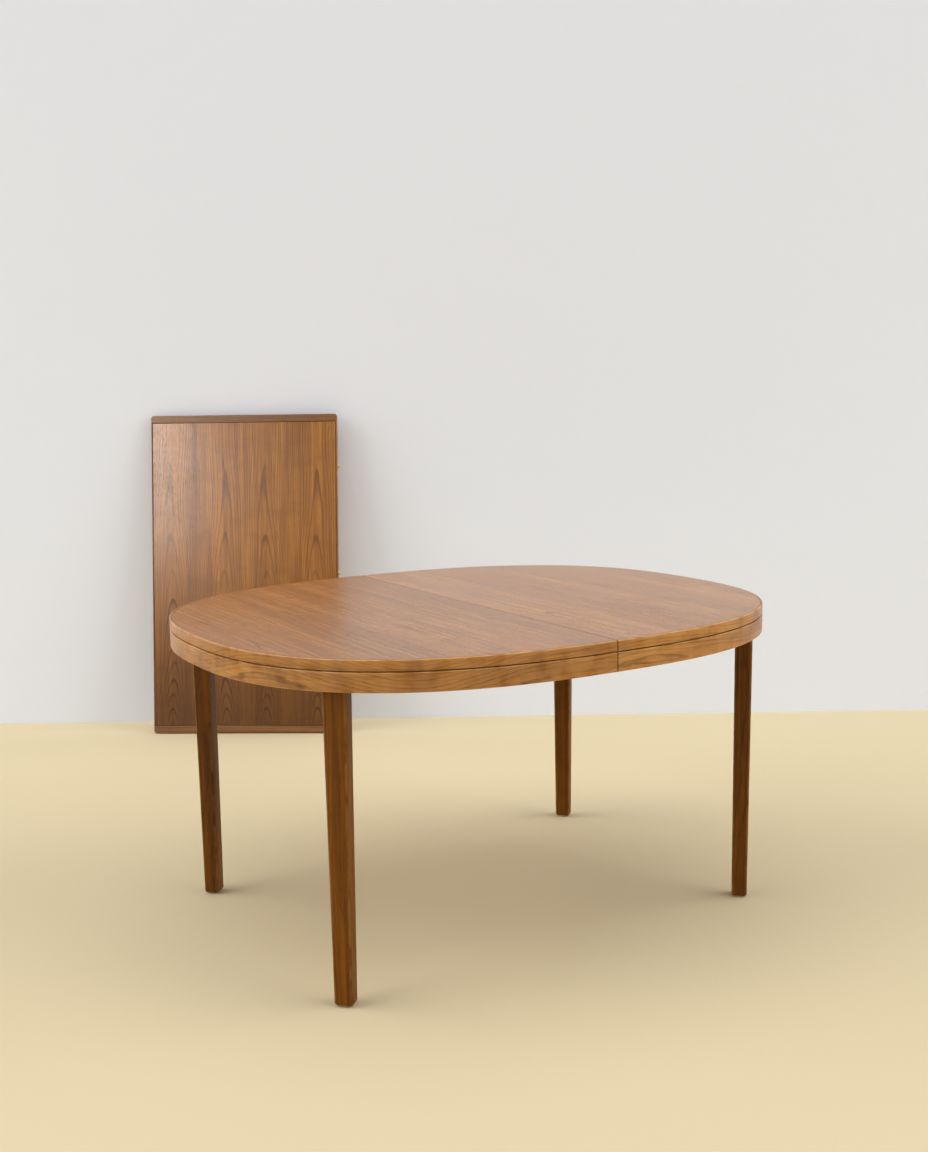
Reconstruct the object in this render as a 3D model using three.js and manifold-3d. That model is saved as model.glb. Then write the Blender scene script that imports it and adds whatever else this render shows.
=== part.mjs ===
// An oval teak dining table that pulls apart in the middle, with a loose extension leaf.
// Millimetres, +Z up. The origin is the centre of the table top, on the seam; the floor is at z = -HEIGHT.
// +X is the direction in which the right half slides out, and -Y is the front.
import * as THREE from 'three';
import { mergeVertices } from 'three/addons/utils/BufferGeometryUtils.js';
import Module from 'manifold-3d';

const wasm = await Module();
wasm.setup();

// ---- Driving dimensions ----
const HEIGHT = 720; // floor to table top
const HALF_LENGTH = 686; // of the closed top, along X
const HALF_WIDTH = 570; // of the top, along Y
const EXPONENT = 2.52; // of the superellipse that the rim follows: 2 would be an ellipse
const RIM_STEPS = 48; // straight pieces in half of the rim

const FIT = 0.3; // gap between two pieces that touch
const SEAM_GAP = 0.4; // between the halves when the table is closed
const OVERLAP = 1; // by how much joined pieces and cutting tools run past the face that they meet
const ROUND_SIDES = 12; // of a round bar

const TOP_THICKNESS = 22;
const LIPPING = 4; // solid wood band round the edge of the top
const GROOVE = 3; // shadow groove between the top and the apron
const GROOVE_DEPTH = 4;
const APRON_HEIGHT = 40;
const APRON_THICKNESS = 20;

const LEG_ANGLE = 43; // degrees from the X axis to the way that a leg's outer face looks
const LEG_WIDTH = 51; // along the rim, at the top
const LEG_DEPTH = 41; // across the rim, at the top
const LEG_CORNER = 8;
const FOOT_WIDTH = 39;
const FOOT_DEPTH = 36; // the inner face is upright, so the outer one slopes
const FOOT_CHAMFER = 5;
const LEG_GAP = 1; // between a leg and the apron

const GLIDE_HEIGHT = 3; // the pad that lifts the wood off the floor
const GLIDE_RADIUS = 11;
const GLIDE_BEVEL = 1;
const GLIDE_SIDES = 16;
const NAIL_RADIUS = 1.5;
const NAIL_LENGTH = 15;
const NAIL_POINT = 1;

const BLOCK_WIDTH = 140; // the block behind a leg, along the rim
const BLOCK_DEPTH = 45;
const BOLT_RADIUS = 4;
const BOLT_GRIP = 25; // length of the bolt inside the leg
const BOLT_SPREAD = 19; // between the two bolts of a leg
const BOLT_OUT = 4; // length of the bolt that stands out of its nut
const NUT_RADIUS = 7.5;
const NUT_HEIGHT = 6.5;
const WASHER_RADIUS = 8.5;
const WASHER_HEIGHT = 1.6;

const FRAME_DEPTH = 38; // height of the runners, rails and blocks below the top
const RUNNER_END = 550; // fixed end of a runner, from the seam
const RUNNER_REACH = 490; // free end of a runner, past the seam
const RUNNER_MEET = 203.75; // from the middle of the table to where a pair of runners meets
const OUTER_RUNNER = 22;
const INNER_RUNNER = 25.5;
const TONGUE_DEPTH = 10;
const TONGUE_HEIGHT = 13;
const RAIL_GAP = 2; // between the end rails and the runners' ends
const RAIL_THICKNESS = 22;
const RAIL_HALF_LENGTH = 236;

const DOWEL_RADIUS = 5;
const DOWEL_GLUED = 20; // length of a locating dowel inside the half that holds it
const DOWEL_OUT = 8; // length that stands out of the seam
const DOWEL_SPACING = 380;
const DOWEL_TAPER = 2;
const HOLE_SPARE = 2; // by how much the hole that takes a dowel is deeper than needed

const LEAF_WIDTH = 670;
const LEAF_END_STRIP = 26;
const LEAF_CORNER = 9;
const LEAF_STAND = { x: 133, y: 1760, turn: -33.9, lean: 8 }; // where the loose leaf leans, in mm and degrees

const DOWEL_ROOM = 15; // how much further than the leaf's width the table opens, for the dowels
const TRAVEL = LEAF_WIDTH + DOWEL_ROOM;
const PEG_RADIUS = 5;
const PEG_X = -475;
const PEG_OUT = 4; // length of the peg below its runner
const PEG_DEPTH = 15; // of its hole
const STOP_PLAY = 5; // left between the peg and the stop plate when the table is fully open
const STOP_PLATE = { length: 20, width: 48, thickness: 2.5 };

const LOCK_Y = 120; // from the middle of the table to each lock
const LOCK_PIVOT_X = -28;
const LOCK_POST_X = 22;
const LOCK_SHEET = 2; // thickness of the base plates
const LOCK_HALF_WIDTH = 18; // of the base plates, along the seam
const PLATE_BEFORE_PIVOT = 17;
const PLATE_BEYOND_PIVOT = 24;
const KEEPER_HALF_LENGTH = 16;
const HOOK_THICKNESS = 3;
const HOOK_HALF_WIDTH = 9;
const HOOK_TIP = 60;
const HOOK_CORNER = 4;
const HOOK_TAIL = 24;
const HOOK_TAIL_RADIUS = 5.4;
const POST_RADIUS = 3;
const POST_PLAY = 1.4; // room round the post in the hook's slot
const POST_HEAD_RADIUS = 5.5;
const PIN_HEAD_RADIUS = 6.5;
const HEAD_HEIGHT = 1.6;

// ---- Levels, measured from the floor ----
const TOP_UNDERSIDE = HEIGHT - TOP_THICKNESS;
const FRAME_TOP = TOP_UNDERSIDE - FIT;
const FRAME_BOTTOM = FRAME_TOP - FRAME_DEPTH;
const FRAME_MIDDLE = (FRAME_TOP + FRAME_BOTTOM) / 2;
const APRON_TOP = TOP_UNDERSIDE - GROOVE;
const APRON_BOTTOM = APRON_TOP - APRON_HEIGHT;

// ---- Finishes ----
const finish = (color, roughness, metalness = 0) =>
  new THREE.MeshStandardMaterial({ color, roughness, metalness });
const TEAK_TOP = finish(0xa8795a, 0.42);
const TEAK_EDGE = finish(0xb0763c, 0.45);
const TEAK_LEG = finish(0x5d3a18, 0.5);
const TEAK_LEAF = finish(0x96633a, 0.42);
const BEECH = finish(0xc9a777, 0.7);
const STEEL = finish(0x9a9a98, 0.35, 1);
const BRASS = finish(0xb08d4a, 0.35, 1);
const NYLON = finish(0xd8d4c8, 0.6);

// ---- Solids ----
function toSolid(geometry) {
  const bare = geometry.clone();
  bare.deleteAttribute('normal');
  bare.deleteAttribute('uv');
  const merged = mergeVertices(bare, 1e-4);
  const vertProperties = new Float32Array(merged.attributes.position.array);
  const triVerts = new Uint32Array(merged.index.array);
  return new wasm.Manifold(new wasm.Mesh({ numProp: 3, vertProperties, triVerts }));
}

function toGeometry(solid) {
  const mesh = solid.getMesh();
  const geometry = new THREE.BufferGeometry();
  geometry.setAttribute('position', new THREE.BufferAttribute(mesh.vertProperties, 3));
  geometry.setIndex(new THREE.BufferAttribute(mesh.triVerts, 1));
  geometry.computeVertexNormals();
  return geometry;
}

function join(first, ...others) {
  const solid = others.reduce((sum, other) => sum.add(toSolid(other)), toSolid(first));
  return toGeometry(solid);
}

function cut(body, ...tools) {
  const solid = tools.reduce((rest, tool) => rest.subtract(toSolid(tool)), toSolid(body));
  return toGeometry(solid);
}

// An upright prism over a flat outline, from one level to another.
function prism(points, low, high) {
  const shape = new THREE.Shape(points);
  const geometry = new THREE.ExtrudeGeometry(shape, { depth: high - low, bevelEnabled: false });
  return geometry.translate(0, 0, low);
}

// A prism along X over an outline in the Y-Z plane.
function barAlongX(points, startX, endX) {
  const basis = new THREE.Matrix4().makeBasis(
    new THREE.Vector3(0, 1, 0),
    new THREE.Vector3(0, 0, 1),
    new THREE.Vector3(1, 0, 0),
  );
  return prism(points, startX, endX).applyMatrix4(basis);
}

function box(x0, x1, y0, y1, z0, z1) {
  const geometry = new THREE.BoxGeometry(x1 - x0, y1 - y0, z1 - z0);
  return geometry.translate((x0 + x1) / 2, (y0 + y1) / 2, (z0 + z1) / 2);
}

// A round bar between two levels, on the Z axis.
function rod(radius, low, high, sides = ROUND_SIDES) {
  const geometry = new THREE.CylinderGeometry(radius, radius, high - low, sides);
  return geometry.rotateX(Math.PI / 2).translate(0, 0, (low + high) / 2);
}

// The same, lying along X.
function rodAlongX(radius, startX, endX) {
  return rod(radius, startX, endX).rotateY(Math.PI / 2);
}

function rectangle(x0, x1, y0, y1) {
  return [[x0, y0], [x1, y0], [x1, y1], [x0, y1]].map(([x, y]) => new THREE.Vector2(x, y));
}

function arcPoints(centreX, centreY, radius, startDegrees, endDegrees, steps) {
  const points = [];
  for (let i = 0; i <= steps; i += 1) {
    const angle = THREE.MathUtils.degToRad(startDegrees + (endDegrees - startDegrees) * i / steps);
    points.push(new THREE.Vector2(centreX + radius * Math.cos(angle), centreY + radius * Math.sin(angle)));
  }
  return points;
}

function roundedRectangle(width, depth, radius, steps) {
  const x = width / 2 - radius;
  const y = depth / 2 - radius;
  return [
    ...arcPoints(x, y, radius, 0, 90, steps),
    ...arcPoints(-x, y, radius, 90, 180, steps),
    ...arcPoints(-x, -y, radius, 180, 270, steps),
    ...arcPoints(x, -y, radius, 270, 360, steps),
  ];
}

// A solid through the same outline at several levels, scaled and then shifted along Y at each.
function loft(points, stations) {
  const steps = stations.length - 1;
  const shape = new THREE.Shape(points);
  const geometry = new THREE.ExtrudeGeometry(shape, { depth: steps, steps, bevelEnabled: false });
  const position = geometry.attributes.position;
  for (let i = 0; i < position.count; i += 1) {
    const station = stations[Math.round(position.getZ(i))];
    const y = position.getY(i) * station.scaleY + station.shiftY;
    position.setXYZ(i, position.getX(i) * station.scaleX, y, station.z);
  }
  return geometry;
}

// ---- The rim ----
// The outward direction of the rim where its parameter is t.
function rimNormal(t) {
  const alongX = Math.abs(Math.cos(t)) ** (2 - 2 / EXPONENT) * Math.sign(Math.cos(t)) / HALF_LENGTH;
  const alongY = Math.abs(Math.sin(t)) ** (2 - 2 / EXPONENT) * Math.sign(Math.sin(t)) / HALF_WIDTH;
  return new THREE.Vector2(alongX, alongY).normalize();
}

// A point of the rim, or of a line drawn inside it at a constant distance.
function rimPoint(t, inset) {
  const x = HALF_LENGTH * Math.abs(Math.cos(t)) ** (2 / EXPONENT) * Math.sign(Math.cos(t));
  const y = HALF_WIDTH * Math.abs(Math.sin(t)) ** (2 / EXPONENT) * Math.sign(Math.sin(t));
  return new THREE.Vector2(x, y).addScaledVector(rimNormal(t), -inset);
}

// Half of that line, from the seam at the front to the seam at the back. side is -1 for the left half.
function halfRim(side, inset) {
  const points = [];
  for (let i = 0; i <= RIM_STEPS; i += 1) {
    const point = rimPoint(Math.PI * (i / RIM_STEPS - 0.5), inset);
    points.push(new THREE.Vector2(side * (Math.max(point.x, 0) + SEAM_GAP / 2), point.y));
  }
  return points;
}

function rimBand(side, outerInset, innerInset, low, high) {
  const outline = [...halfRim(side, outerInset), ...halfRim(side, innerInset).reverse()];
  return prism(outline, low, high);
}

// The parameter at which the rim looks a given number of degrees away from the X axis.
function rimParameter(degrees) {
  let low = 0;
  let high = Math.PI / 2;
  for (let i = 0; i < 40; i += 1) {
    const middle = (low + high) / 2;
    const normal = rimNormal(middle);
    if (THREE.MathUtils.radToDeg(Math.atan2(normal.y, normal.x)) < degrees) low = middle;
    else high = middle;
  }
  return low;
}

// ---- Assembly ----
const table = new THREE.Group();
table.position.z = -HEIGHT;

function add(parent, name, geometry, material) {
  const mesh = new THREE.Mesh(geometry, material);
  mesh.name = name;
  parent.add(mesh);
}

const HALVES = [{ side: -1, half: 'left' }, { side: 1, half: 'right' }];
const ENDS = [{ end: -1, place: 'front' }, { end: 1, place: 'back' }];
const DOWEL_PLACES = [-DOWEL_SPACING, 0, DOWEL_SPACING];

// ---- Top ----
function topPanel(side) {
  const panel = prism(halfRim(side, LIPPING + FIT), TOP_UNDERSIDE, HEIGHT);
  const depth = side < 0 ? DOWEL_GLUED : DOWEL_OUT + HOLE_SPARE;
  const holes = DOWEL_PLACES.map((y) => dowelHole(0, side * (depth + FIT), y, HEIGHT - TOP_THICKNESS / 2));
  return cut(panel, ...holes);
}

// The space for a dowel, from a face to the bottom of its hole. It starts a little outside the face.
function dowelHole(faceX, bottomX, y, z) {
  const outside = faceX - Math.sign(bottomX - faceX) * OVERLAP;
  const hole = rodAlongX(DOWEL_RADIUS + FIT, Math.min(outside, bottomX), Math.max(outside, bottomX));
  return hole.translate(0, y, z);
}

// A dowel along X with a tapered nose, glued on the -X side of the face at x = 0.
function dowel() {
  const profile = [
    new THREE.Vector2(0, -DOWEL_GLUED),
    new THREE.Vector2(DOWEL_RADIUS, -DOWEL_GLUED),
    new THREE.Vector2(DOWEL_RADIUS, DOWEL_OUT - 2 * DOWEL_TAPER),
    new THREE.Vector2(DOWEL_RADIUS - DOWEL_TAPER, DOWEL_OUT),
    new THREE.Vector2(0, DOWEL_OUT),
  ];
  return new THREE.LatheGeometry(profile, ROUND_SIDES).rotateZ(-Math.PI / 2);
}

// The apron's face stands flush with the top's edge, and its upper lip steps back to leave the groove.
function apron(side) {
  const band = rimBand(side, 0, APRON_THICKNESS, APRON_BOTTOM, APRON_TOP);
  const lip = rimBand(side, GROOVE_DEPTH, APRON_THICKNESS, APRON_TOP - OVERLAP, FRAME_TOP);
  return join(band, lip);
}

function addTop({ side, half }) {
  add(table, `top_${half}`, topPanel(side), TEAK_TOP);
  add(table, `lipping_${half}`, rimBand(side, 0, LIPPING, TOP_UNDERSIDE, HEIGHT), TEAK_EDGE);
  add(table, `apron_${half}`, apron(side), TEAK_EDGE);
}

// ---- Legs ----
// A leg stands in its own frame: x along the rim, y outwards, the middle of its inner face at the origin.
function leg(boltLevels) {
  const outline = roundedRectangle(LEG_WIDTH, LEG_DEPTH, LEG_CORNER, 3);
  outline.forEach((point) => point.setY(point.y + LEG_DEPTH / 2));
  const soleX = (FOOT_WIDTH - 2 * FOOT_CHAMFER) / LEG_WIDTH;
  const soleY = (FOOT_DEPTH - 2 * FOOT_CHAMFER) / LEG_DEPTH;
  const body = loft(outline, [
    { z: GLIDE_HEIGHT, scaleX: soleX, scaleY: soleY, shiftY: FOOT_CHAMFER },
    {
      z: GLIDE_HEIGHT + FOOT_CHAMFER,
      scaleX: FOOT_WIDTH / LEG_WIDTH,
      scaleY: FOOT_DEPTH / LEG_DEPTH,
      shiftY: 0,
    },
    { z: FRAME_TOP, scaleX: 1, scaleY: 1, shiftY: 0 },
  ]);
  const holeTop = GLIDE_HEIGHT + NAIL_LENGTH + NAIL_POINT;
  const nailHole = rod(NAIL_RADIUS + FIT, 0, holeTop).translate(0, FOOT_DEPTH / 2, 0);
  return cut(body, nailHole, ...boltLevels.map((z) => boltHole(z)));
}

// The space for a bolt, from inside the leg out past its block.
function boltHole(z) {
  const hole = rod(BOLT_RADIUS + FIT, -FIT - BLOCK_DEPTH - OVERLAP, BOLT_GRIP + FIT).rotateX(-Math.PI / 2);
  return hole.translate(0, 0, z);
}

// A hanger bolt with its washer and nut behind the block.
function legBolt(z) {
  const washerTop = -FIT - BLOCK_DEPTH - FIT;
  const nutTop = washerTop - WASHER_HEIGHT;
  const shank = rod(BOLT_RADIUS, nutTop - NUT_HEIGHT - BOLT_OUT, BOLT_GRIP);
  const washer = rod(WASHER_RADIUS, nutTop, washerTop);
  const nut = rod(NUT_RADIUS, nutTop - NUT_HEIGHT, nutTop + OVERLAP, 6);
  return join(shank, washer, nut).rotateX(-Math.PI / 2).translate(0, 0, z);
}

function legBlock(boltLevels) {
  const block = box(-BLOCK_WIDTH / 2, BLOCK_WIDTH / 2, -FIT - BLOCK_DEPTH, -FIT, FRAME_BOTTOM, FRAME_TOP);
  return cut(block, ...boltLevels.map((z) => boltHole(z)));
}

function glide() {
  const profile = [
    new THREE.Vector2(0, 0),
    new THREE.Vector2(GLIDE_RADIUS - GLIDE_BEVEL, 0),
    new THREE.Vector2(GLIDE_RADIUS, GLIDE_BEVEL),
    new THREE.Vector2(GLIDE_RADIUS, GLIDE_HEIGHT - FIT),
    new THREE.Vector2(NAIL_RADIUS, GLIDE_HEIGHT - FIT),
    new THREE.Vector2(NAIL_RADIUS, GLIDE_HEIGHT + NAIL_LENGTH - NAIL_POINT),
    new THREE.Vector2(0, GLIDE_HEIGHT + NAIL_LENGTH),
  ];
  return new THREE.LatheGeometry(profile, GLIDE_SIDES).rotateX(Math.PI / 2).translate(0, FOOT_DEPTH / 2, 0);
}

function addLeg({ side, half }, { end, place }) {
  const angle = THREE.MathUtils.degToRad(LEG_ANGLE);
  const inset = APRON_THICKNESS + LEG_GAP + LEG_DEPTH;
  const spot = rimPoint(rimParameter(LEG_ANGLE), inset);
  const frame = new THREE.Group();
  frame.position.set(side * (spot.x + SEAM_GAP / 2), end * spot.y, 0);
  frame.rotation.z = Math.atan2(end * Math.sin(angle), side * Math.cos(angle)) - Math.PI / 2;
  const levels = [FRAME_MIDDLE - BOLT_SPREAD / 2, FRAME_MIDDLE + BOLT_SPREAD / 2];
  add(frame, `leg_${place}_${half}`, leg(levels), TEAK_LEG);
  add(frame, `glide_${place}_${half}`, glide(), NYLON);
  add(frame, `leg_block_${place}_${half}`, legBlock(levels), BEECH);
  add(frame, `leg_bolt_lower_${place}_${half}`, legBolt(levels[0]), STEEL);
  add(frame, `leg_bolt_upper_${place}_${half}`, legBolt(levels[1]), STEEL);
  table.add(frame);
}

// ---- Runners ----
// The outer runners are fixed to the left half and carry a groove; the inner ones are fixed to the right
// half and carry the tongue that slides in it. end is -1 for the front pair.
const RUNNER_TOP = FRAME_TOP - FIT;

function mirrored(points, end) {
  return points.map(([y, z]) => new THREE.Vector2(end * y, z));
}

function outerRunner(end) {
  const near = RUNNER_MEET + FIT;
  const far = near + OUTER_RUNNER;
  const floor = near + TONGUE_DEPTH;
  const half = TONGUE_HEIGHT / 2 + FIT;
  const section = mirrored([
    [near, FRAME_BOTTOM], [far, FRAME_BOTTOM], [far, RUNNER_TOP], [near, RUNNER_TOP],
    [near, FRAME_MIDDLE + half], [floor, FRAME_MIDDLE + half],
    [floor, FRAME_MIDDLE - half], [near, FRAME_MIDDLE - half],
  ], end);
  return barAlongX(section, -RUNNER_END, RUNNER_REACH);
}

function innerRunner(end) {
  const near = RUNNER_MEET - INNER_RUNNER;
  const tip = RUNNER_MEET + TONGUE_DEPTH;
  const half = TONGUE_HEIGHT / 2;
  const section = mirrored([
    [near, FRAME_BOTTOM], [RUNNER_MEET, FRAME_BOTTOM], [RUNNER_MEET, FRAME_MIDDLE - half],
    [tip, FRAME_MIDDLE - half], [tip, FRAME_MIDDLE + half],
    [RUNNER_MEET, FRAME_MIDDLE + half], [RUNNER_MEET, RUNNER_TOP], [near, RUNNER_TOP],
  ], end);
  const runner = barAlongX(section, -RUNNER_REACH, RUNNER_END);
  const pegHole = rod(PEG_RADIUS + FIT, FRAME_BOTTOM - OVERLAP, FRAME_BOTTOM + PEG_DEPTH);
  return cut(runner, pegHole.translate(PEG_X, end * (RUNNER_MEET - INNER_RUNNER / 2), 0));
}

// The stop plate is fixed under the outer runner and reaches under the inner one, where the peg meets it.
function stopPlate(end) {
  const start = PEG_X + TRAVEL + PEG_RADIUS + STOP_PLAY;
  const far = RUNNER_MEET + FIT + OUTER_RUNNER;
  const high = FRAME_BOTTOM - FIT;
  const y0 = Math.min(end * far, end * (far - STOP_PLATE.width));
  return box(start, start + STOP_PLATE.length, y0, y0 + STOP_PLATE.width, high - STOP_PLATE.thickness, high);
}

function stopPeg(end) {
  const peg = rod(PEG_RADIUS, FRAME_BOTTOM - PEG_OUT, FRAME_BOTTOM + PEG_DEPTH - FIT);
  return peg.translate(PEG_X, end * (RUNNER_MEET - INNER_RUNNER / 2), 0);
}

function endRail(side) {
  const near = RUNNER_END + RAIL_GAP;
  const x0 = Math.min(side * near, side * (near + RAIL_THICKNESS));
  return box(x0, x0 + RAIL_THICKNESS, -RAIL_HALF_LENGTH, RAIL_HALF_LENGTH, FRAME_BOTTOM, FRAME_TOP);
}

function addRunners({ end, place }) {
  add(table, `outer_runner_${place}`, outerRunner(end), BEECH);
  add(table, `inner_runner_${place}`, innerRunner(end), BEECH);
  add(table, `stop_plate_${place}`, stopPlate(end), STEEL);
  add(table, `stop_peg_${place}`, stopPeg(end), BEECH);
}

// ---- Locks ----
// A hook under the left half turns about a pin and its slot takes a post under the right half.
const SHEET_LOW = FRAME_TOP - LOCK_SHEET;
const HOOK_HIGH = SHEET_LOW - FIT;
const HOOK_LOW = HOOK_HIGH - HOOK_THICKNESS;

function lockPlate(end) {
  const width = LOCK_HALF_WIDTH;
  const plate = box(-PLATE_BEFORE_PIVOT, PLATE_BEYOND_PIVOT, -width, width, SHEET_LOW, FRAME_TOP);
  const hole = rod(POST_RADIUS + FIT, SHEET_LOW - OVERLAP, FRAME_TOP + OVERLAP);
  return cut(plate, hole).translate(LOCK_PIVOT_X, end * LOCK_Y, 0);
}

function lockPin(end) {
  const shank = rod(POST_RADIUS, HOOK_LOW - OVERLAP, FRAME_TOP);
  const head = rod(PIN_HEAD_RADIUS, HOOK_LOW - FIT - HEAD_HEIGHT, HOOK_LOW - FIT);
  return join(shank, head).translate(LOCK_PIVOT_X, end * LOCK_Y, 0);
}

// The hook is drawn reaching along +X, in its locked place, and then turned back to its open place,
// where it lies along the seam with its tip towards the middle of the table.
function lockHook(end) {
  const arm = LOCK_POST_X - LOCK_PIVOT_X;
  const outline = [
    ...arcPoints(HOOK_TIP - HOOK_CORNER, HOOK_HALF_WIDTH - HOOK_CORNER, HOOK_CORNER, 0, 90, 4),
    ...arcPoints(-HOOK_TAIL, 0, HOOK_TAIL_RADIUS, 90, 270, 8),
    ...arcPoints(HOOK_TIP - HOOK_CORNER, HOOK_CORNER - HOOK_HALF_WIDTH, HOOK_CORNER, 270, 360, 4),
  ];
  const slotRadius = POST_RADIUS + POST_PLAY;
  const slot = [
    ...arcPoints(arm, 0, slotRadius, 0, 180, 12),
    new THREE.Vector2(arm - slotRadius, -HOOK_HALF_WIDTH - OVERLAP),
    new THREE.Vector2(arm + slotRadius, -HOOK_HALF_WIDTH - OVERLAP),
  ];
  const blank = prism(mirroredAcrossX(outline, end), HOOK_LOW, HOOK_HIGH);
  const slotTool = prism(mirroredAcrossX(slot, end), HOOK_LOW - OVERLAP, HOOK_HIGH + OVERLAP);
  const hole = rod(POST_RADIUS + FIT, HOOK_LOW - OVERLAP, HOOK_HIGH + OVERLAP);
  const hook = cut(blank, slotTool, hole);
  return hook.rotateZ(-end * Math.PI / 2).translate(LOCK_PIVOT_X, end * LOCK_Y, 0);
}

// Drawn for the front lock, whose slot opens towards -Y, and turned over for the back one.
function mirroredAcrossX(points, end) {
  return points.map((point) => new THREE.Vector2(point.x, -end * point.y));
}

function lockKeeper(end) {
  const halfLength = KEEPER_HALF_LENGTH;
  const plate = box(-halfLength, halfLength, -LOCK_HALF_WIDTH, LOCK_HALF_WIDTH, SHEET_LOW, FRAME_TOP);
  const post = rod(POST_RADIUS, HOOK_LOW - OVERLAP, SHEET_LOW + OVERLAP);
  const head = rod(POST_HEAD_RADIUS, HOOK_LOW - FIT - HEAD_HEIGHT, HOOK_LOW - FIT);
  return join(plate, post, head).translate(LOCK_POST_X, end * LOCK_Y, 0);
}

function addLock({ end, place }) {
  add(table, `lock_plate_${place}`, lockPlate(end), BRASS);
  add(table, `lock_pin_${place}`, lockPin(end), STEEL);
  add(table, `lock_hook_${place}`, lockHook(end), BRASS);
  add(table, `lock_keeper_${place}`, lockKeeper(end), BRASS);
}

// ---- Loose leaf ----
// Drawn flat, x across its width and y along its length from the end that it stands on, and z through
// its thickness with the show face on top.
const LEAF_LENGTH = 2 * HALF_WIDTH;
const LEAF_DOWELS = DOWEL_PLACES.map((place) => LEAF_LENGTH / 2 + place);

function leafPanel() {
  const half = LEAF_WIDTH / 2 - LIPPING - FIT;
  const end = LEAF_END_STRIP + FIT;
  const panel = prism(rectangle(-half, half, end, LEAF_LENGTH - end), 0, TOP_THICKNESS);
  return cut(panel, ...leafHoles(-1), ...leafHoles(1));
}

// The right edge holds the dowels, and the left one takes those of the left half.
function leafHoles(side) {
  const edge = side * LEAF_WIDTH / 2;
  const depth = side > 0 ? DOWEL_GLUED : DOWEL_OUT + HOLE_SPARE;
  return LEAF_DOWELS.map((y) => dowelHole(edge, edge - side * (depth + FIT), y, TOP_THICKNESS / 2));
}

function leafLipping(side) {
  const outer = side * LEAF_WIDTH / 2;
  const inner = side * (LEAF_WIDTH / 2 - LIPPING);
  const end = LEAF_END_STRIP + FIT;
  const strip = rectangle(Math.min(inner, outer), Math.max(inner, outer), end, LEAF_LENGTH - end);
  return cut(prism(strip, 0, TOP_THICKNESS), ...leafHoles(side));
}

function leafEndStrip() {
  const x = LEAF_WIDTH / 2 - LEAF_CORNER;
  const outline = [
    ...arcPoints(-x, LEAF_CORNER, LEAF_CORNER, 180, 270, 6),
    ...arcPoints(x, LEAF_CORNER, LEAF_CORNER, 270, 360, 6),
    new THREE.Vector2(LEAF_WIDTH / 2, LEAF_END_STRIP),
    new THREE.Vector2(-LEAF_WIDTH / 2, LEAF_END_STRIP),
  ];
  return prism(outline, 0, TOP_THICKNESS);
}

function addLeaf() {
  const lean = THREE.MathUtils.degToRad(LEAF_STAND.lean);
  const leaf = new THREE.Group();
  leaf.rotation.order = 'ZYX';
  leaf.rotation.set(Math.PI / 2 - lean, 0, THREE.MathUtils.degToRad(LEAF_STAND.turn));
  leaf.position.set(LEAF_STAND.x, LEAF_STAND.y, 0);
  add(leaf, 'leaf_panel', leafPanel(), TEAK_LEAF);
  add(leaf, 'leaf_lipping_left', leafLipping(-1), TEAK_LEAF);
  add(leaf, 'leaf_lipping_right', leafLipping(1), TEAK_LEAF);
  add(leaf, 'leaf_end_strip_bottom', leafEndStrip(), TEAK_LEAF);
  const upper = leafEndStrip().rotateZ(Math.PI).translate(0, LEAF_LENGTH, 0);
  add(leaf, 'leaf_end_strip_top', upper, TEAK_LEAF);
  LEAF_DOWELS.forEach((y, i) => {
    add(leaf, `leaf_dowel_${i + 1}`, dowel().translate(LEAF_WIDTH / 2, y, TOP_THICKNESS / 2), BEECH);
  });
  table.add(leaf);
}

for (const half of HALVES) {
  addTop(half);
  for (const end of ENDS) addLeg(half, end);
  add(table, `end_rail_${half.half}`, endRail(half.side), BEECH);
}
for (const end of ENDS) {
  addRunners(end);
  addLock(end);
}
DOWEL_PLACES.forEach((y, i) => {
  add(table, `dowel_${i + 1}`, dowel().translate(0, y, HEIGHT - TOP_THICKNESS / 2), BEECH);
});
addLeaf();

export default table;
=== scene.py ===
"""Looks of the oval teak extension table and its loose leaf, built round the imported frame. Metres."""
import math

import bmesh
import bpy
import numpy as np
from mathutils import Matrix, Vector


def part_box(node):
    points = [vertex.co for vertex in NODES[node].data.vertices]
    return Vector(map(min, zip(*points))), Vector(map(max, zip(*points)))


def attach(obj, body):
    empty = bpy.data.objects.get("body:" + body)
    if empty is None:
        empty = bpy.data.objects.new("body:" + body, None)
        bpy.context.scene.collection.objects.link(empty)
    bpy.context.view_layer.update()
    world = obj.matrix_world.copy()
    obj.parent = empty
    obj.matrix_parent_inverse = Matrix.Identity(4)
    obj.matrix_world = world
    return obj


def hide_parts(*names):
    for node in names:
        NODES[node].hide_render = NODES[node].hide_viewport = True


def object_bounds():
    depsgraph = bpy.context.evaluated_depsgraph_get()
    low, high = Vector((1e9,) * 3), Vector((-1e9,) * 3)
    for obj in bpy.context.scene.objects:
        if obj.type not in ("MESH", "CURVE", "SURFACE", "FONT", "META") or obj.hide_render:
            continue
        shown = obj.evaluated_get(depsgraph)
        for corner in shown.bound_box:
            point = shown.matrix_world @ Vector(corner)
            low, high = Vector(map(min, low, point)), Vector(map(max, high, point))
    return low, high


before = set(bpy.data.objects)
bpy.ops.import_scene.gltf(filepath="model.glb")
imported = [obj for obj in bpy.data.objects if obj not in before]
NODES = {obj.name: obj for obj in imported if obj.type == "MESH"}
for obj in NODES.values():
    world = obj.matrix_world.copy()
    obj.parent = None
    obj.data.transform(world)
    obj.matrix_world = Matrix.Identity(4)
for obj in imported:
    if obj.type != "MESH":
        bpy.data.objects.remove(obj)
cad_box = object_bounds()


def box(node):
    low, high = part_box(node)
    return Vector(low), Vector(high)


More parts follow.
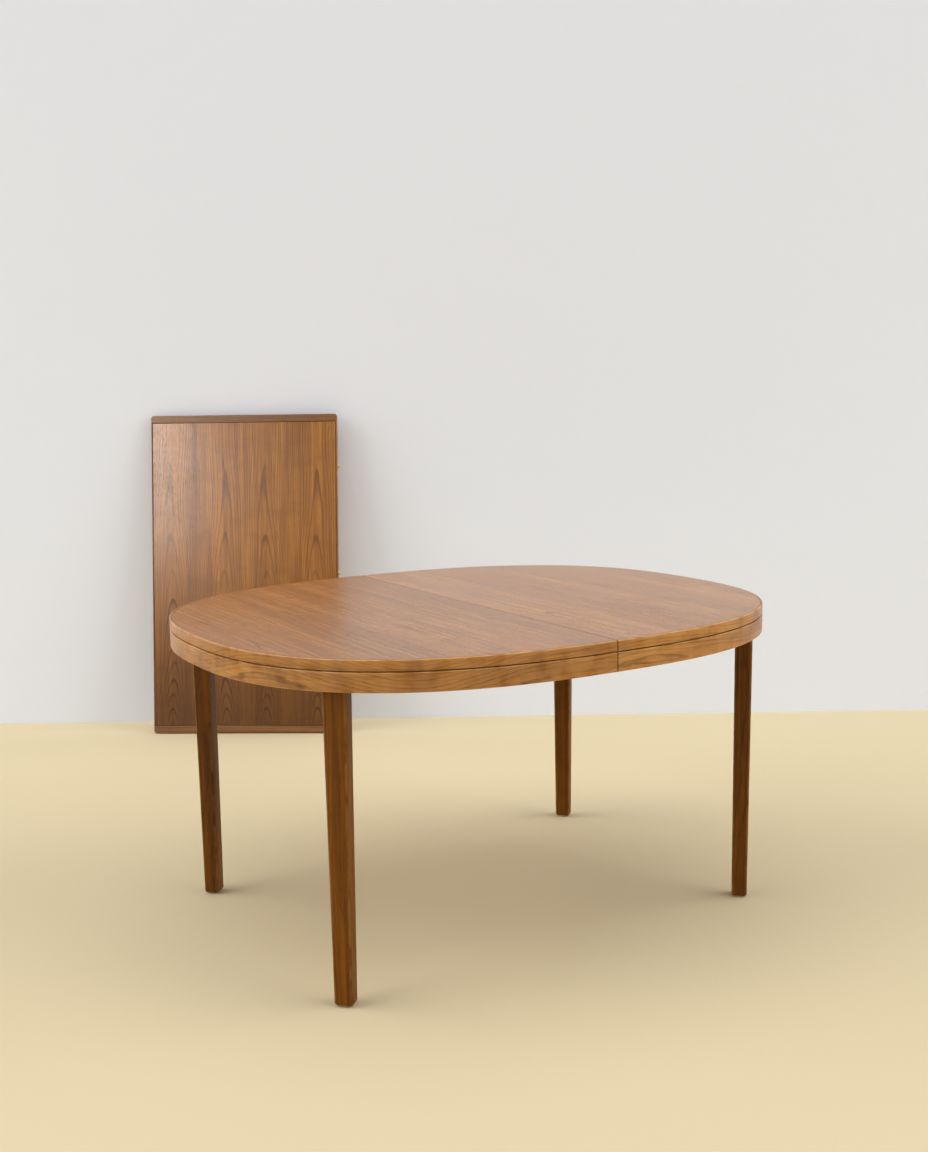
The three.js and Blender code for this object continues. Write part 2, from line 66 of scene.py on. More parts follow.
SEAM = box("lipping_right")[0].x  # half of the gap between the two halves
HALF_LENGTH = box("lipping_right")[1].x - SEAM
HALF_WIDTH = box("lipping_right")[1].y
EXPONENT = 2.52  # of the superellipse that the rim follows
TOP_LOW = box("lipping_right")[0].z
TOP_HIGH = box("lipping_right")[1].z
PANEL_INSET = HALF_LENGTH + SEAM - box("top_right")[1].x
LIPPING = 0.004
APRON_LOW = box("apron_right")[0].z
APRON_HIGH = box("apron_right")[1].z
APRON_THICKNESS = 0.020
APRON_BAND = 0.040  # the apron's height below the groove
GROOVE_DEPTH = 0.004
LIPPING_ROUNDS = [0.0012, 0.0022, 0, 0]  # corner radii, in the order of the profile
APRON_ROUNDS = [0.0016, 0.0018, 0, 0, 0.001, 0.0015]
FLOOR = cad_box[0][2]

LEG_ANGLE = math.radians(43)  # from the X axis to the way that a leg's outer face looks
LEG_WIDTH, LEG_DEPTH = 0.051, 0.041
FOOT_WIDTH, FOOT_DEPTH = 0.039, 0.036
FOOT_ROUND = 0.006
LEG_CORNER = 0.006
LEG_RUB_AND_HIGHLIGHT = [0, 0.1, 0.25, 0.3, 0.25, 0.1, 0] * 4  # round the section: the corners are rubbed, with a painted highlight
LEG_GAP = 0.001  # between a leg and the apron
LEG_LOW = box("leg_front_left")[0].z
LEG_HIGH = box("leg_front_left")[1].z

LEAF_LENGTH, LEAF_WIDTH = 2 * HALF_WIDTH, 0.670
LEAF_THICKNESS = TOP_HIGH - TOP_LOW
LEAF_END_STRIP = 0.026
LEAF_CORNER = 0.009
LEAF_GAP = 0.0003
LEAF_TURN, LEAF_LEAN = math.radians(-33.9), math.radians(8)

RIM_STEPS = 220
EDGE_EASE = 0.0012  # on the leaf's edges
END_EASE = 0.0007  # on the end grain at the seam
END_SHADE_AND_DIRT = 0.00025  # width of the painted shade and dirt inside that edge
BOARD_SHADE_AND_DIRT = (0.0012, 0.001)  # width of the painted shade and dirt round a board's seam: on its face and on its side
PAINTED_SHADE_AND_DIRT = 0.5  # how dark the grooves are painted: painted shade and dirt

# Bolts and glides, turned: each profile holds (radius, level) from one end to the other
BOLT_RADIUS, THREAD_DEPTH, THREAD_STEP, THREAD_STEPS = 0.004, 0.0005, 0.0005, 8
BOLT_START, THREAD_START, BOLT_END = -0.070, 0.0080, 0.0120  # from the washer's seat
BOLT_SEAT = 0.0456  # the back of the leg block, from the leg's inner face
WASHER = [(0.0080, 0), (0.0082, 0.0004), (0.0082, 0.0012), (0.0080, 0.0015)]
NUT = [(0.0070, 0.0015), (0.0075, 0.0019), (0.0075, 0.0074), (0.0070, 0.0079)]
NUT_SIDES = 6
PAD = [(0.0032, 0.0008), (0.0034, 0.0001), (0.0038, 0), (0.0100, 0), (0.0107, 0.0003), (0.0110, 0.0010),
       (0.0110, 0.0024), (0.0107, 0.0027)]
NAIL = [(0.0022, 0.0003), (0.0030, 0.0005), (0.0030, 0.0009)]

DOWEL_RADIUS, DOWEL_END, DOWEL_SIDE, DOWEL_EASE = 0.005, -0.020, 0.0045, 0.0004
NOSE_INSET, NOSE_LENGTH = 0.0022, 0.0033

SCREW_RADIUS, SCREW_SLOT = 0.004, 0.0011
SCREW_HEAD = ((1, 0.0004), (0.95, 0.0007), (0.75, 0.0009))  # share of the radius, level
SCREW_SUNK = 0.0002
RUNNER_LINE = {"left": 0.215, "right": 0.190}  # the runners' distance from the middle
RUNNER_SCREWS = (0.27, 0.40, 0.52)
RAIL_LINE, RAIL_SCREWS = 0.563, (-0.15, 0, 0.15)
BLOCK_LINE, BLOCK_SCREWS = -0.0228, (-0.05, 0.05)
PLATE_THICKNESS = 0.002
PLATE_SCREWS = ((-0.0115, 0.134), (-0.041, 0.106))
KEEPER_SCREWS = ((0.011, 0.134), (0.033, 0.134))
STOP_SCREWS = ((0.226, 0.210), (0.234, 0.220))

SIDES = {"left": -1, "right": 1}
ENDS = {"front": -1, "back": 1}


# ---- Camera, placed as the photograph was taken ----
LENS, SENSOR = 42.15, 36
EYE = (-1.650, -2.693, FLOOR + 1.2446)
AIM, PITCH, ROLL = math.radians(31.27), math.radians(8.275), math.radians(-0.866)
HEADING = Vector((math.sin(AIM), math.cos(AIM), 0))  # the way the camera looks, kept level
CAMERA_RIGHT = Vector((HEADING.y, -HEADING.x, 0))
UP = Vector((0, 0, 1))


def make_camera():
    data = bpy.data.cameras.new("camera")
    data.lens = LENS
    data.sensor_width = SENSOR
    camera = add_object("camera", data)
    camera.location = EYE
    turn = Matrix.Rotation(-AIM, 4, "Z") @ Matrix.Rotation(math.pi / 2 - PITCH, 4, "X")
    camera.rotation_mode = "QUATERNION"
    camera.rotation_quaternion = (turn @ Matrix.Rotation(ROLL, 4, "Z")).to_quaternion()
    bpy.context.scene.camera = camera


def add_object(name, data):
    piece = bpy.data.objects.new(name, data)
    bpy.context.scene.collection.objects.link(piece)
    return piece


# ---- Meshes ----
def finish_mesh(name, verts, faces, grain, material, wear_and_shading=None):
    """A closed, smooth-shaded object. grain holds each vertex's place in the wood: along, across, deep."""
    mesh = bpy.data.meshes.new(name)
    mesh.from_pydata([tuple(v) for v in verts], [], faces)
    mesh.attributes.new("grain", "FLOAT_VECTOR", "POINT").data.foreach_set("vector", np.ravel(grain))
    # each vertex is lightened above 0 for rubbing and a painted highlight, and darkened below 0 with
    # painted shade and dirt
    rub_and_shade = np.zeros(len(verts)) if wear_and_shading is None else np.ravel(wear_and_shading)
    mesh.attributes.new("wear_and_shading", "FLOAT", "POINT").data.foreach_set("value", rub_and_shade)
    edit = bmesh.new()
    edit.from_mesh(mesh)
    bmesh.ops.recalc_face_normals(edit, faces=edit.faces)
    edit.to_mesh(mesh)
    edit.free()
    mesh.shade_smooth()
    mesh.set_sharp_from_angle(angle=math.radians(40))
    mesh.materials.append(material)
    return add_object(name, mesh)


def stack(name, rings, grain, material, wear_and_shading=None):
    """A solid through rings of equal length, closed by a flat face at each end."""
    verts, places = np.reshape(rings, (-1, 3)), np.reshape(grain, (-1, 3))
    return finish_mesh(name, verts, ring_faces(rings, 0), places, material, wear_and_shading)


def stacks(name, shells, material):
    """Several such solids in one object, without grain."""
    verts, faces = [], []
    for rings in shells:
        faces += ring_faces(rings, len(verts))
        verts += [tuple(point) for ring in rings for point in ring]
    return finish_mesh(name, verts, faces, np.array(verts), material)


def ring_faces(rings, first):
    """Quads between rings whose vertices start at first, and the two end faces."""
    count, size = len(rings), len(rings[0])
    faces = []
    for i in range(count - 1):
        for j in range(size):
            here, there = first + i * size, first + (i + 1) * size
            faces.append((here + j, here + (j + 1) % size, there + (j + 1) % size, there + j))
    faces.append(tuple(range(first, first + size)))
    faces.append(tuple(range(first + (count - 1) * size, first + count * size)))
    return faces


def own(piece, body, *nodes, slot=None):
    """Makes a piece ride on a body, in place of CAD nodes, which it hides. The slot argument is not used.
    """
    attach(piece, body)
    if nodes:
        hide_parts(*nodes)
    return piece


# ---- The rim, as in the CAD ----
def rim_lines(inset):
    """The right half of the rim at a constant distance inside it: evenly spaced points, and arc lengths."""
    t = np.linspace(-math.pi / 2, math.pi / 2, 4001)
    cos, sin = np.cos(t).clip(0), np.sin(t)
    size, sign = np.abs(sin), np.sign(sin)
    power = 2 / EXPONENT
    edge = np.stack([HALF_LENGTH * cos ** power, HALF_WIDTH * size ** power * sign], 1)
    out = np.stack([cos ** (2 - power) / HALF_LENGTH, size ** (2 - power) * sign / HALF_WIDTH], 1)
    out /= np.linalg.norm(out, axis=1)[:, None]
    length = np.concatenate([[0], np.cumsum(np.linalg.norm(np.diff(edge, axis=0), axis=1))])
    even = np.linspace(0, length[-1], RIM_STEPS + 1)
    line = edge - inset * out
    points = np.stack([np.interp(even, length, line[:, 0]), np.interp(even, length, line[:, 1])], 1)
    points[:, 0] = points[:, 0].clip(0) + SEAM
    return points, even - length[-1] / 2


def rounded(corners, radii, steps=5):
    """A closed profile with its corners rounded to these radii. Returns its points and how much each is
    lightened, for rubbing and a painted highlight.
    """
    points, wear_and_shading = [], []
    count = len(corners)
    for i, (corner, radius) in enumerate(zip(corners, radii)):
        here = Vector(corner)
        if radius == 0:
            points.append(tuple(here))
            wear_and_shading.append(0)
            continue
        before = (Vector(corners[i - 1]) - here).normalized()
        after = (Vector(corners[(i + 1) % count]) - here).normalized()
        half = before.angle(after) / 2
        middle = here + (before + after).normalized() * (radius / math.sin(half))
        start = here + before * (radius / math.tan(half)) - middle
        end = here + after * (radius / math.tan(half)) - middle
        for k in range(steps + 1):
            arm = start.lerp(end, k / steps).normalized() * radius
            points.append(tuple(middle + arm))
            # the rounded arris is lightened: rubbing, and a painted highlight
            wear_and_shading.append(math.sin(math.pi * (k + 0.5) / (steps + 1)))
    return points, wear_and_shading


def rim_band(name, side, corners, radii, material, shade_and_dirt):
    """Sweeps a profile of (inset, level) corners along half of the rim, with its ends eased at the seam.

    The corners given in the last argument, and the ends at the seam, are painted dark: painted shade and
    dust.
    """
    profile, rub_and_shade = rounded(corners, radii)
    # the corners in the groove and at the joint are painted dark: painted shade and dirt
    for i, point in enumerate(profile):
        if any(math.dist(point, spot) < 1e-6 for spot in shade_and_dirt):
            rub_and_shade[i] = -PAINTED_SHADE_AND_DIRT
    # at the seam the eased ends are painted dark: painted shade in the seam, and dirt
    eased, face = shrink(profile, END_EASE), shrink(profile, END_EASE + END_SHADE_AND_DIRT)
    end = [(face, 0, -0.15), (eased, 0, -1), (profile, END_EASE, -0.8), (profile, 2.5 * END_EASE, None)]
    sections = [(0, *ring) for ring in end]
    sections += [(i, profile, 0, None) for i in range(1, RIM_STEPS)]
    sections += [(RIM_STEPS, *ring) for ring in reversed(end)]

    along = rim_lines(0)[1]
    lines = {inset: rim_lines(inset)[0] for inset, _ in set(profile + eased + face)}
    rings, grain, wear_and_shading = [], [], []
    for i, section, shift, shade_share in sections:
        wear_and_shading.append(rub_and_shade if shade_share is None else [shade_share] * len(section))
        spots = [lines[inset][i] for inset, _ in section]
        rings.append([(side * (x + shift), y, level) for (x, y), (_, level) in zip(spots, section)])
        grain.append([(along[i] + side * 3, level, inset) for inset, level in section])
    return stack(name, rings, grain, material, wear_and_shading)


def shrink(profile, amount):
    """Moves every point of a closed profile into it."""
    points = []
    for i, point in enumerate(profile):
        before, after = Vector(profile[i - 1]), Vector(profile[(i + 1) % len(profile)])
        first, second = (Vector(point) - before).normalized(), (after - Vector(point)).normalized()
        normal = Vector((first.y + second.y, -first.x - second.x))
        points.append(tuple(Vector(point) + normal * (amount / (1 + first.dot(second)))))
    return points


def flat_board(name, outline_at, low, high, ease, place, material, to_grain, shade_and_dirt=0.0):
    """A board between two levels with eased edges. outline_at(inset) gives its outline."""
    on_face, on_side = BOARD_SHADE_AND_DIRT
    levels = [(ease + on_face, low, 0), (ease, low, 1), (ease * 0.3, low + ease * 0.3, 1),
              (0, low + ease, 1), (0, low + ease + on_side, 0.15)]
    levels += [(inset, low + high - level, shade_share) for inset, level, shade_share in reversed(levels)]
    flat = [[(x, y, level) for x, y in outline_at(inset)] for inset, level, _ in levels]
    grain = [[to_grain(*point) for point in ring] for ring in flat]
    rings = [[tuple(place @ Vector(point)) for point in ring] for ring in flat]
    # round its seams the board is painted dark: painted shade and dirt, as strong as the last argument
    wear_and_shading = [[-shade_and_dirt * shade_share] * len(rings[0]) for _, _, shade_share in levels]
    return stack(name, rings, grain, material, wear_and_shading)


def turned(profile, place, sides=32):
    """Rings round a Z axis, which place then moves: profile holds (radius, level) from end to end."""
    angles = [2 * math.pi * i / sides for i in range(sides)]
    circle = [(math.cos(a), math.sin(a)) for a in angles]
    return [[tuple(place @ Vector((r * x, r * y, z))) for x, y in circle] for r, z in profile]


def screw(place):
    """A pan head with a slot: two rounded halves on a disc that sits on the surface."""
    base = SCREW_HEAD[0][1]
    shells = [turned([(SCREW_RADIUS, -SCREW_SUNK), (SCREW_RADIUS, base)], place, 24)]
    for turn in (0, math.pi):
        rings = []
        for share, level in SCREW_HEAD:
            radius = SCREW_RADIUS * share
            start = math.asin(SCREW_SLOT / 2 / radius)
            angles = [turn + start + (math.pi - 2 * start) * k / 10 for k in range(11)]
            ring = [(radius * math.cos(a), radius * math.sin(a), level) for a in angles]
            rings.append([tuple(place @ Vector(point)) for point in ring])
        shells.append(rings)
    return shells


# ---- Shader helpers ----
class Shader:
    """Builds one material's nodes. Values are sockets, numbers or tuples."""

    def __init__(self, name):
        self.material = bpy.data.materials.new(name)
        self.material.use_nodes = True
        self.tree = self.material.node_tree
        self.surface = self.tree.nodes["Principled BSDF"]

    def node(self, kind, inputs=(), output=0, **settings):
        node = self.tree.nodes.new(kind)
        for key, value in settings.items():
            setattr(node, key, value)
        for key, value in (inputs.items() if isinstance(inputs, dict) else enumerate(inputs)):
            if value is not None:
                self.put(node.inputs[key], value)
        return node.outputs[output]

    def put(self, socket, value):
        if isinstance(value, bpy.types.NodeSocket):
            self.tree.links.new(value, socket)
        else:
            socket.default_value = value

    def math(self, operation, a, b=None, c=None, clamp=False):
        return self.node("ShaderNodeMath", [a, b, c], operation=operation, use_clamp=clamp)

    def vector(self, x, y, z=0.0):
        return self.node("ShaderNodeCombineXYZ", [x, y, z])

    def split(self, vector):
        node = self.tree.nodes.new("ShaderNodeSeparateXYZ")
        self.put(node.inputs[0], vector)
        return node.outputs[0], node.outputs[1], node.outputs[2]

    def noise(self, vector, scale=1.0, detail=2.0, roughness=0.5):
        inputs = {"Vector": vector, "Scale": scale, "Detail": detail, "Roughness": roughness}
        return self.node("ShaderNodeTexNoise", inputs)

    def random(self, value):
        return self.node("ShaderNodeTexWhiteNoise", {"W": value}, noise_dimensions="1D")

    def step(self, value, low, high, to_low=0.0, to_high=1.0):
        inputs = {"Value": value, "From Min": low, "From Max": high, "To Min": to_low, "To Max": to_high}
        return self.node("ShaderNodeMapRange", inputs, interpolation_type="SMOOTHSTEP")

    def mix(self, factor, a, b, blend="MIX"):
        node = self.tree.nodes.new("ShaderNodeMix")
        node.data_type = "RGBA"
        node.blend_type = blend
        for index, value in ((0, factor), (6, a), (7, b)):
            self.put(node.inputs[index], value)
        return node.outputs[2]

    def bump(self, height, strength, distance):
        inputs = {"Height": height, "Strength": strength, "Distance": distance}
        return self.node("ShaderNodeBump", inputs)


def rgb(hexadecimal):
    """A linear colour from an sRGB hexadecimal number."""
    parts = [(hexadecimal >> shift & 255) / 255 for shift in (16, 8, 0)]
    linear = [c / 12.92 if c <= 0.04045 else ((c + 0.055) / 1.055) ** 2.4 for c in parts]
    return (*linear, 1.0)


def streaks(s, grain, length, width, detail=3.0, roughness=0.6):
    """Noise drawn out along the grain. length and width are its frequencies per metre."""
    along, across, deep = grain
    scaled = s.vector(s.math("MULTIPLY", along, length), s.math("MULTIPLY", across, width),
                      s.math("MULTIPLY", deep, width))
    return s.noise(scaled, 1.0, detail, roughness)


def growth_rings(s, grain, sheets, crest, rings, wander, swirl, seed):
    """Which of the tree's rings a point is in, and which veneer sheet. Every second sheet is mirrored."""
    along, across, _ = grain
    width, first = sheets
    shifted = s.math("SUBTRACT", across, first)
    sheet = s.math("FLOOR", s.math("DIVIDE", shifted, width))

    def slow(frequency, offset):
        place = s.vector(s.math("MULTIPLY", along, frequency), s.math("MULTIPLY", sheet, 0.07), offset)
        return s.noise(place, 1.0, 1.0)

    centre = s.math("SUBTRACT", s.math("PINGPONG", shifted, width), width * 0.417)
    centre = s.math("MULTIPLY_ADD", s.math("SUBTRACT", slow(1.6, seed), 0.5), wander * 4, centre)
    from_crest = s.math("SUBTRACT", along, crest[0])
    height = s.math("MULTIPLY_ADD", s.math("MULTIPLY", from_crest, from_crest), -crest[2], crest[1])
    height = s.math("MULTIPLY_ADD", slow(2.3, seed + 4.1), rings * 1.5 * swirl, height)
    radius = s.math("SQRT", s.math("ADD", s.math("MULTIPLY", centre, centre),
                                   s.math("MULTIPLY", height, height)))
    radius = s.math("MULTIPLY_ADD", streaks(s, grain, 9.0, 45.0), rings * 1.1 * swirl, radius)
    return s.math("DIVIDE", radius, rings), sheet


def late_wood(s, ring, seed, contrast):
    """The dark line at the end of each ring, stronger in some rings than in others."""
    strength = s.math("MULTIPLY_ADD", s.random(s.math("ADD", s.math("FLOOR", ring), seed)), 0.7, 0.3)
    phase = s.math("FRACT", ring)
    late = s.math("MULTIPLY", s.step(phase, 0.62, 0.92), s.step(phase, 0.92, 1.0, 1.0, 0.0))
    return s.math("MULTIPLY", s.math("MULTIPLY", late, strength), contrast, clamp=True)


def add_rubbing_and_shade(s, colour, place, rub_and_highlight):
    """Lightens the arrises for rubbing and a painted highlight, where the attribute is 0 to 1, and darkens
    the grooves, seams and joints with painted shade and dust, where it is 0 to -1.
    """
    wear_and_shading = s.node("ShaderNodeAttribute", attribute_name="wear_and_shading", output=2)
    rubbed_and_highlit = s.math("MULTIPLY", wear_and_shading, s.step(s.noise(place, 23.0, 3.0), 0.3, 0.6), clamp=True)
    # the arrises turn lighter: rubbed wood and a painted highlight
    colour = s.mix(s.math("MULTIPLY", rubbed_and_highlit, rub_and_highlight), colour, rgb(0xd6a468))
    # the grooves, seams and joints turn near black: painted shade and dirt
    return s.mix(s.math("MULTIPLY", wear_and_shading, -0.85, clamp=True), colour, rgb(0x120a04))


def teak(name, light, dark, line, sheets, crest, rings=0.0045, wander=0.02, roughness=0.3, seed=0.0,
         contrast=1.0, shine=0.35, foot=0.0, swirl=1.0, mottled=0.25, rub_and_highlight=0.45):
    """Teak in boards or book-matched veneers, from each vertex's place in the wood.

    sheets is (width, first edge) of the veneers. crest is (place along the grain, height, fall): how far
    above the heart of the tree the cut runs, which closes its rings into long arches below the crest.
    foot is how much painted shade darkens the first end, swirl how far the rings stray from their round
    course, mottled how strong the patches are, and the last argument how light the arrises are made, for
    rubbing and a painted highlight.
    """
    s = Shader(name)
    place = s.node("ShaderNodeAttribute", attribute_name="grain", output=1)
    grain = s.split(place)
    along, across, _ = grain
    ring, sheet = growth_rings(s, grain, sheets, crest, rings, wander, swirl, seed)
    lines = late_wood(s, ring, seed, contrast)

    broad, medium = streaks(s, grain, 1.1, 15.0), streaks(s, grain, 2.2, 110.0)
    fine = streaks(s, grain, 9.0, 480.0, 3.0, 0.7)
    pores = s.step(streaks(s, grain, 45.0, 1500.0, 2.0), 0.56, 0.7)
    patches = s.vector(s.math("MULTIPLY", along, 16.0), s.math("MULTIPLY", across, 9.0), seed)
    mottle = s.step(s.noise(patches, 1.0, 2.0), 0.45, 0.75)
    tone = s.random(s.math("ADD", sheet, seed + 0.37))
    body = s.math("MULTIPLY_ADD", medium, 0.6, s.math("MULTIPLY", broad, 0.5))
    body = s.math("MULTIPLY_ADD", fine, 0.45, body)
    body = s.math("MULTIPLY_ADD", tone, 0.1, body)
    colour = s.mix(s.step(body, 0.55, 1.1), light, dark)
    colour = s.mix(s.math("MULTIPLY", mottle, mottled), colour, dark)
    # painted shade: the first end, the leaf's foot on the floor, is darker
    colour = s.mix(s.step(along, 0.0, 0.75, foot, 0.0), colour, line)
    colour = s.mix(s.math("MULTIPLY", lines, 0.75), colour, line)
    colour = s.mix(s.math("MULTIPLY", pores, 0.35), colour, line)
    s.put(s.surface.inputs["Base Color"], add_rubbing_and_shade(s, colour, place, rub_and_highlight))

    s.surface.inputs["Specular IOR Level"].default_value = shine
    dull = s.step(s.noise(place, 3.1, 4.0, 0.6), 0.3, 0.7, roughness - 0.02, roughness + 0.02)
    s.put(s.surface.inputs["Roughness"], s.math("MULTIPLY_ADD", s.math("ADD", fine, pores), 0.06, dull))
    relief = s.math("MULTIPLY_ADD", fine, 0.5, s.math("MULTIPLY", pores, -1.0))
    relief = s.math("MULTIPLY_ADD", lines, -0.4, relief)
    s.put(s.surface.inputs["Normal"], s.bump(relief, 0.25, 0.0002))
    return s.material


def beech(name, axis):
    """Bare beech for the hidden frame. axis is the direction of the grain: X, Y or Z."""
    s = Shader(name)
    x, y, z = s.split(s.node("ShaderNodeTexCoord", output=3))
    grain = {"X": (x, y, z), "Y": (y, x, z), "Z": (z, x, y)}[axis]
    streak = streaks(s, grain, 4.0, 160.0, 4.0)
    fleck = streaks(s, grain, 160.0, 900.0, 1.0, 0.5)
    colour = s.mix(s.step(streak, 0.3, 0.75), rgb(0xd9b88a), rgb(0xb98f5f))
    colour = s.mix(s.math("MULTIPLY", s.step(fleck, 0.6, 0.75), 0.5), colour, rgb(0x8a6238))
    s.put(s.surface.inputs["Base Color"], colour)
    s.put(s.surface.inputs["Roughness"], s.step(streak, 0.2, 0.8, 0.62, 0.78))
    s.put(s.surface.inputs["Normal"], s.bump(streak, 0.2, 0.0003))
    return s.material


def metal(name, colour, stain, roughness):
    """Plated or stamped metal with faint scratches and dull spots."""
    s = Shader(name)
    place = s.node("ShaderNodeTexCoord", output=3)
    spots = s.noise(place, 180.0, 4.0, 0.6)
    drawn = s.node("ShaderNodeMapping", {"Vector": place, "Scale": (900.0, 60.0, 60.0)})
    scratch = s.noise(drawn, 1.0, 2.0)
    s.put(s.surface.inputs["Base Color"], s.mix(s.step(spots, 0.45, 0.75), colour, stain))
    s.put(s.surface.inputs["Roughness"], s.step(spots, 0.3, 0.8, roughness - 0.08, roughness + 0.2))
    s.put(s.surface.inputs["Normal"], s.bump(scratch, 0.1, 0.0001))
    s.surface.inputs["Metallic"].default_value = 1.0
    return s.material


def plain(name, colour, shade, roughness, scale):
    """A smooth material with soft clouds of two colours."""
    s = Shader(name)
    cloud = s.noise(s.node("ShaderNodeTexCoord", output=3), scale, 3.0)
    s.put(s.surface.inputs["Base Color"], s.mix(cloud, colour, shade))
    s.put(s.surface.inputs["Roughness"], s.step(cloud, 0.3, 0.7, roughness, roughness + 0.06))
    return s.material


TOP_WOOD = teak(
    "teak_top", rgb(0xad7232), rgb(0x794719), rgb(0x42230a), sheets=(0.1715, 0.0), crest=(0.4, 0.05, 0.02),
    roughness=0.20, seed=3.0, contrast=0.95, shine=0.43)
EDGE_WOOD = teak(
    "teak_edge", rgb(0xb57a36), rgb(0x734216), rgb(0x3a1e07), sheets=(0.5, -0.28), crest=(0.0, 0.012, 0.0),
    rings=0.007, wander=0.05, roughness=0.30, seed=11.0, contrast=1.0, mottled=0.7, rub_and_highlight=0.7)
LEG_WOOD = teak(
    "teak_leg", rgb(0x7c4a0d), rgb(0x482605), rgb(0x201000), sheets=(0.2, -0.083), crest=(0.0, 0.03, 0.0),
    roughness=0.42, seed=21.0, contrast=0.7, shine=0.12)
LEAF_WOOD = teak(
    "teak_leaf", rgb(0xbd7e31), rgb(0x85511b), rgb(0x381b06), sheets=(LEAF_WIDTH / 4, -LEAF_WIDTH / 2),
    crest=(1.02, 0.079, 0.0474), roughness=0.2, seed=5.0, shine=0.4, foot=0.7, swirl=0.35, contrast=1.25,
    mottled=0.35)
STRIP_WOOD = teak(
    "teak_strip", rgb(0x9c6a38), rgb(0x6e4720), rgb(0x3a1d08), sheets=(0.4, -0.2), crest=(0.0, 0.05, 0.0),
    roughness=0.30, seed=8.0)
BEECH_X = beech("beech_x", "X")
BEECH_Y = beech("beech_y", "Y")
BEECH_Z = beech("beech_z", "Z")
DOWEL_WOOD = plain("beech_dowel", rgb(0xd9b88a), rgb(0xc49c69), 0.6, 300.0)
STEEL = metal("steel", rgb(0xb9b9b6), rgb(0x8d8c88), 0.32)
BRASS = metal("brass", rgb(0xc0a066), rgb(0xa3834c), 0.36)
NYLON = plain("nylon", rgb(0xd8d4c8), rgb(0xc2bdb0), 0.5, 40.0)


# ---- Top, edge band and apron ----
def make_tops():
    lipping = [(0, TOP_LOW), (0, TOP_HIGH), (LIPPING, TOP_HIGH), (LIPPING, TOP_LOW)]
    band_high = APRON_LOW + APRON_BAND
    apron = [(0, APRON_LOW), (0, band_high), (GROOVE_DEPTH, band_high), (GROOVE_DEPTH, APRON_HIGH),
             (APRON_THICKNESS, APRON_HIGH), (APRON_THICKNESS, APRON_LOW)]
    for half, side in SIDES.items():
        body = f"{half}_half"
        band = rim_band(f"edge_band_{half}", side, lipping, LIPPING_ROUNDS, EDGE_WOOD, shade_and_dirt=lipping[2:3])
        own(band, body, f"lipping_{half}", slot="teak_edge")
        board = rim_band(f"apron_board_{half}", side, apron, APRON_ROUNDS, EDGE_WOOD, shade_and_dirt=apron[2:4])
        own(board, body, f"apron_{half}", slot="teak_edge")
        own(make_panel(half, side), body, f"top_{half}", slot="teak_top")


def make_panel(half, side):
    def outline(inset):
        points = rim_lines(PANEL_INSET + inset)[0]
        points[:, 0] = np.maximum(points[:, 0], SEAM + inset)
        return [(side * x, y) for x, y in points]

    return flat_board(f"top_panel_{half}", outline, TOP_LOW, TOP_HIGH, END_EASE, Matrix(), TOP_WOOD,
                      lambda x, y, z: (y, x, z), shade_and_dirt=1.0)


# ---- Legs ----
def leg_outline(width, depth, corner, steps=6):
    """A rectangle with rounded corners and its inner face at y = 0."""
    points = []
    for i, (x, y) in enumerate(((1, 1), (-1, 1), (-1, 0), (1, 0))):
        middle = (x * (width / 2 - corner), corner + y * (depth - 2 * corner))
        for k in range(steps + 1):
            angle = math.pi / 2 * (i + k / steps)
            points.append((middle[0] + corner * math.cos(angle), middle[1] + corner * math.sin(angle)))
    return points


def leg_place(side, end):
    """From a leg's own frame (x along the rim, y outwards) to the table's."""
    t = np.linspace(0, math.pi / 2, 20001)
    power = 2 / EXPONENT
    out_y = np.sin(t) ** (2 - power) / HALF_WIDTH
    out_x = np.cos(t).clip(0) ** (2 - power) / HALF_LENGTH
    direction = np.arctan2(out_y, out_x)
    at = t[np.argmin(np.abs(direction - LEG_ANGLE))]
    inset = APRON_THICKNESS + LEG_GAP + LEG_DEPTH
    x = HALF_LENGTH * math.cos(at) ** power - inset * math.cos(LEG_ANGLE)
    y = HALF_WIDTH * math.sin(at) ** power - inset * math.sin(LEG_ANGLE)
    outwards = math.atan2(end * math.sin(LEG_ANGLE), side * math.cos(LEG_ANGLE))
    spot = Matrix.Translation((side * (x + SEAM), end * y, 0))
    return spot @ Matrix.Rotation(outwards - math.pi / 2, 4, "Z")


def make_leg(name, place, seed):
    """A tapered leg with a rounded foot. seed moves its figure along the grain."""
    arc = [math.pi / 2 * k / 6 for k in range(7)]
    levels = [(LEG_LOW + FOOT_ROUND * (1 - math.cos(a)), FOOT_ROUND * (1 - math.sin(a))) for a in arc]
    levels += [(z, 0) for z in np.linspace(LEG_LOW + FOOT_ROUND, LEG_HIGH, 9)[1:]]
    rings, grain = [], []
    for z, inset in levels:
        share = (z - LEG_LOW) / (LEG_HIGH - LEG_LOW)
        width = FOOT_WIDTH + (LEG_WIDTH - FOOT_WIDTH) * share
        depth = FOOT_DEPTH + (LEG_DEPTH - FOOT_DEPTH) * share
        section = [(x, y + inset) for x, y in leg_outline(width - 2 * inset, depth - 2 * inset, LEG_CORNER)]
        rings.append([tuple(place @ Vector((x, y, z))) for x, y in section])
        grain.append([(z + seed, x + 0.35 * y, y) for x, y in section])
    return stack(name, rings, grain, LEG_WOOD, [LEG_RUB_AND_HIGHLIGHT] * len(rings))


def make_legs():
    for number, (half, end) in enumerate((h, e) for h in SIDES for e in ENDS):
        place = leg_place(SIDES[half], ENDS[end])
        leg = make_leg(f"tapered_leg_{end}_{half}", place, 1.7 * number)
        own(leg, f"{half}_half", f"leg_{end}_{half}", slot="teak_leg")
        make_bolts(half, end, place)
        make_glide(half, end, place)


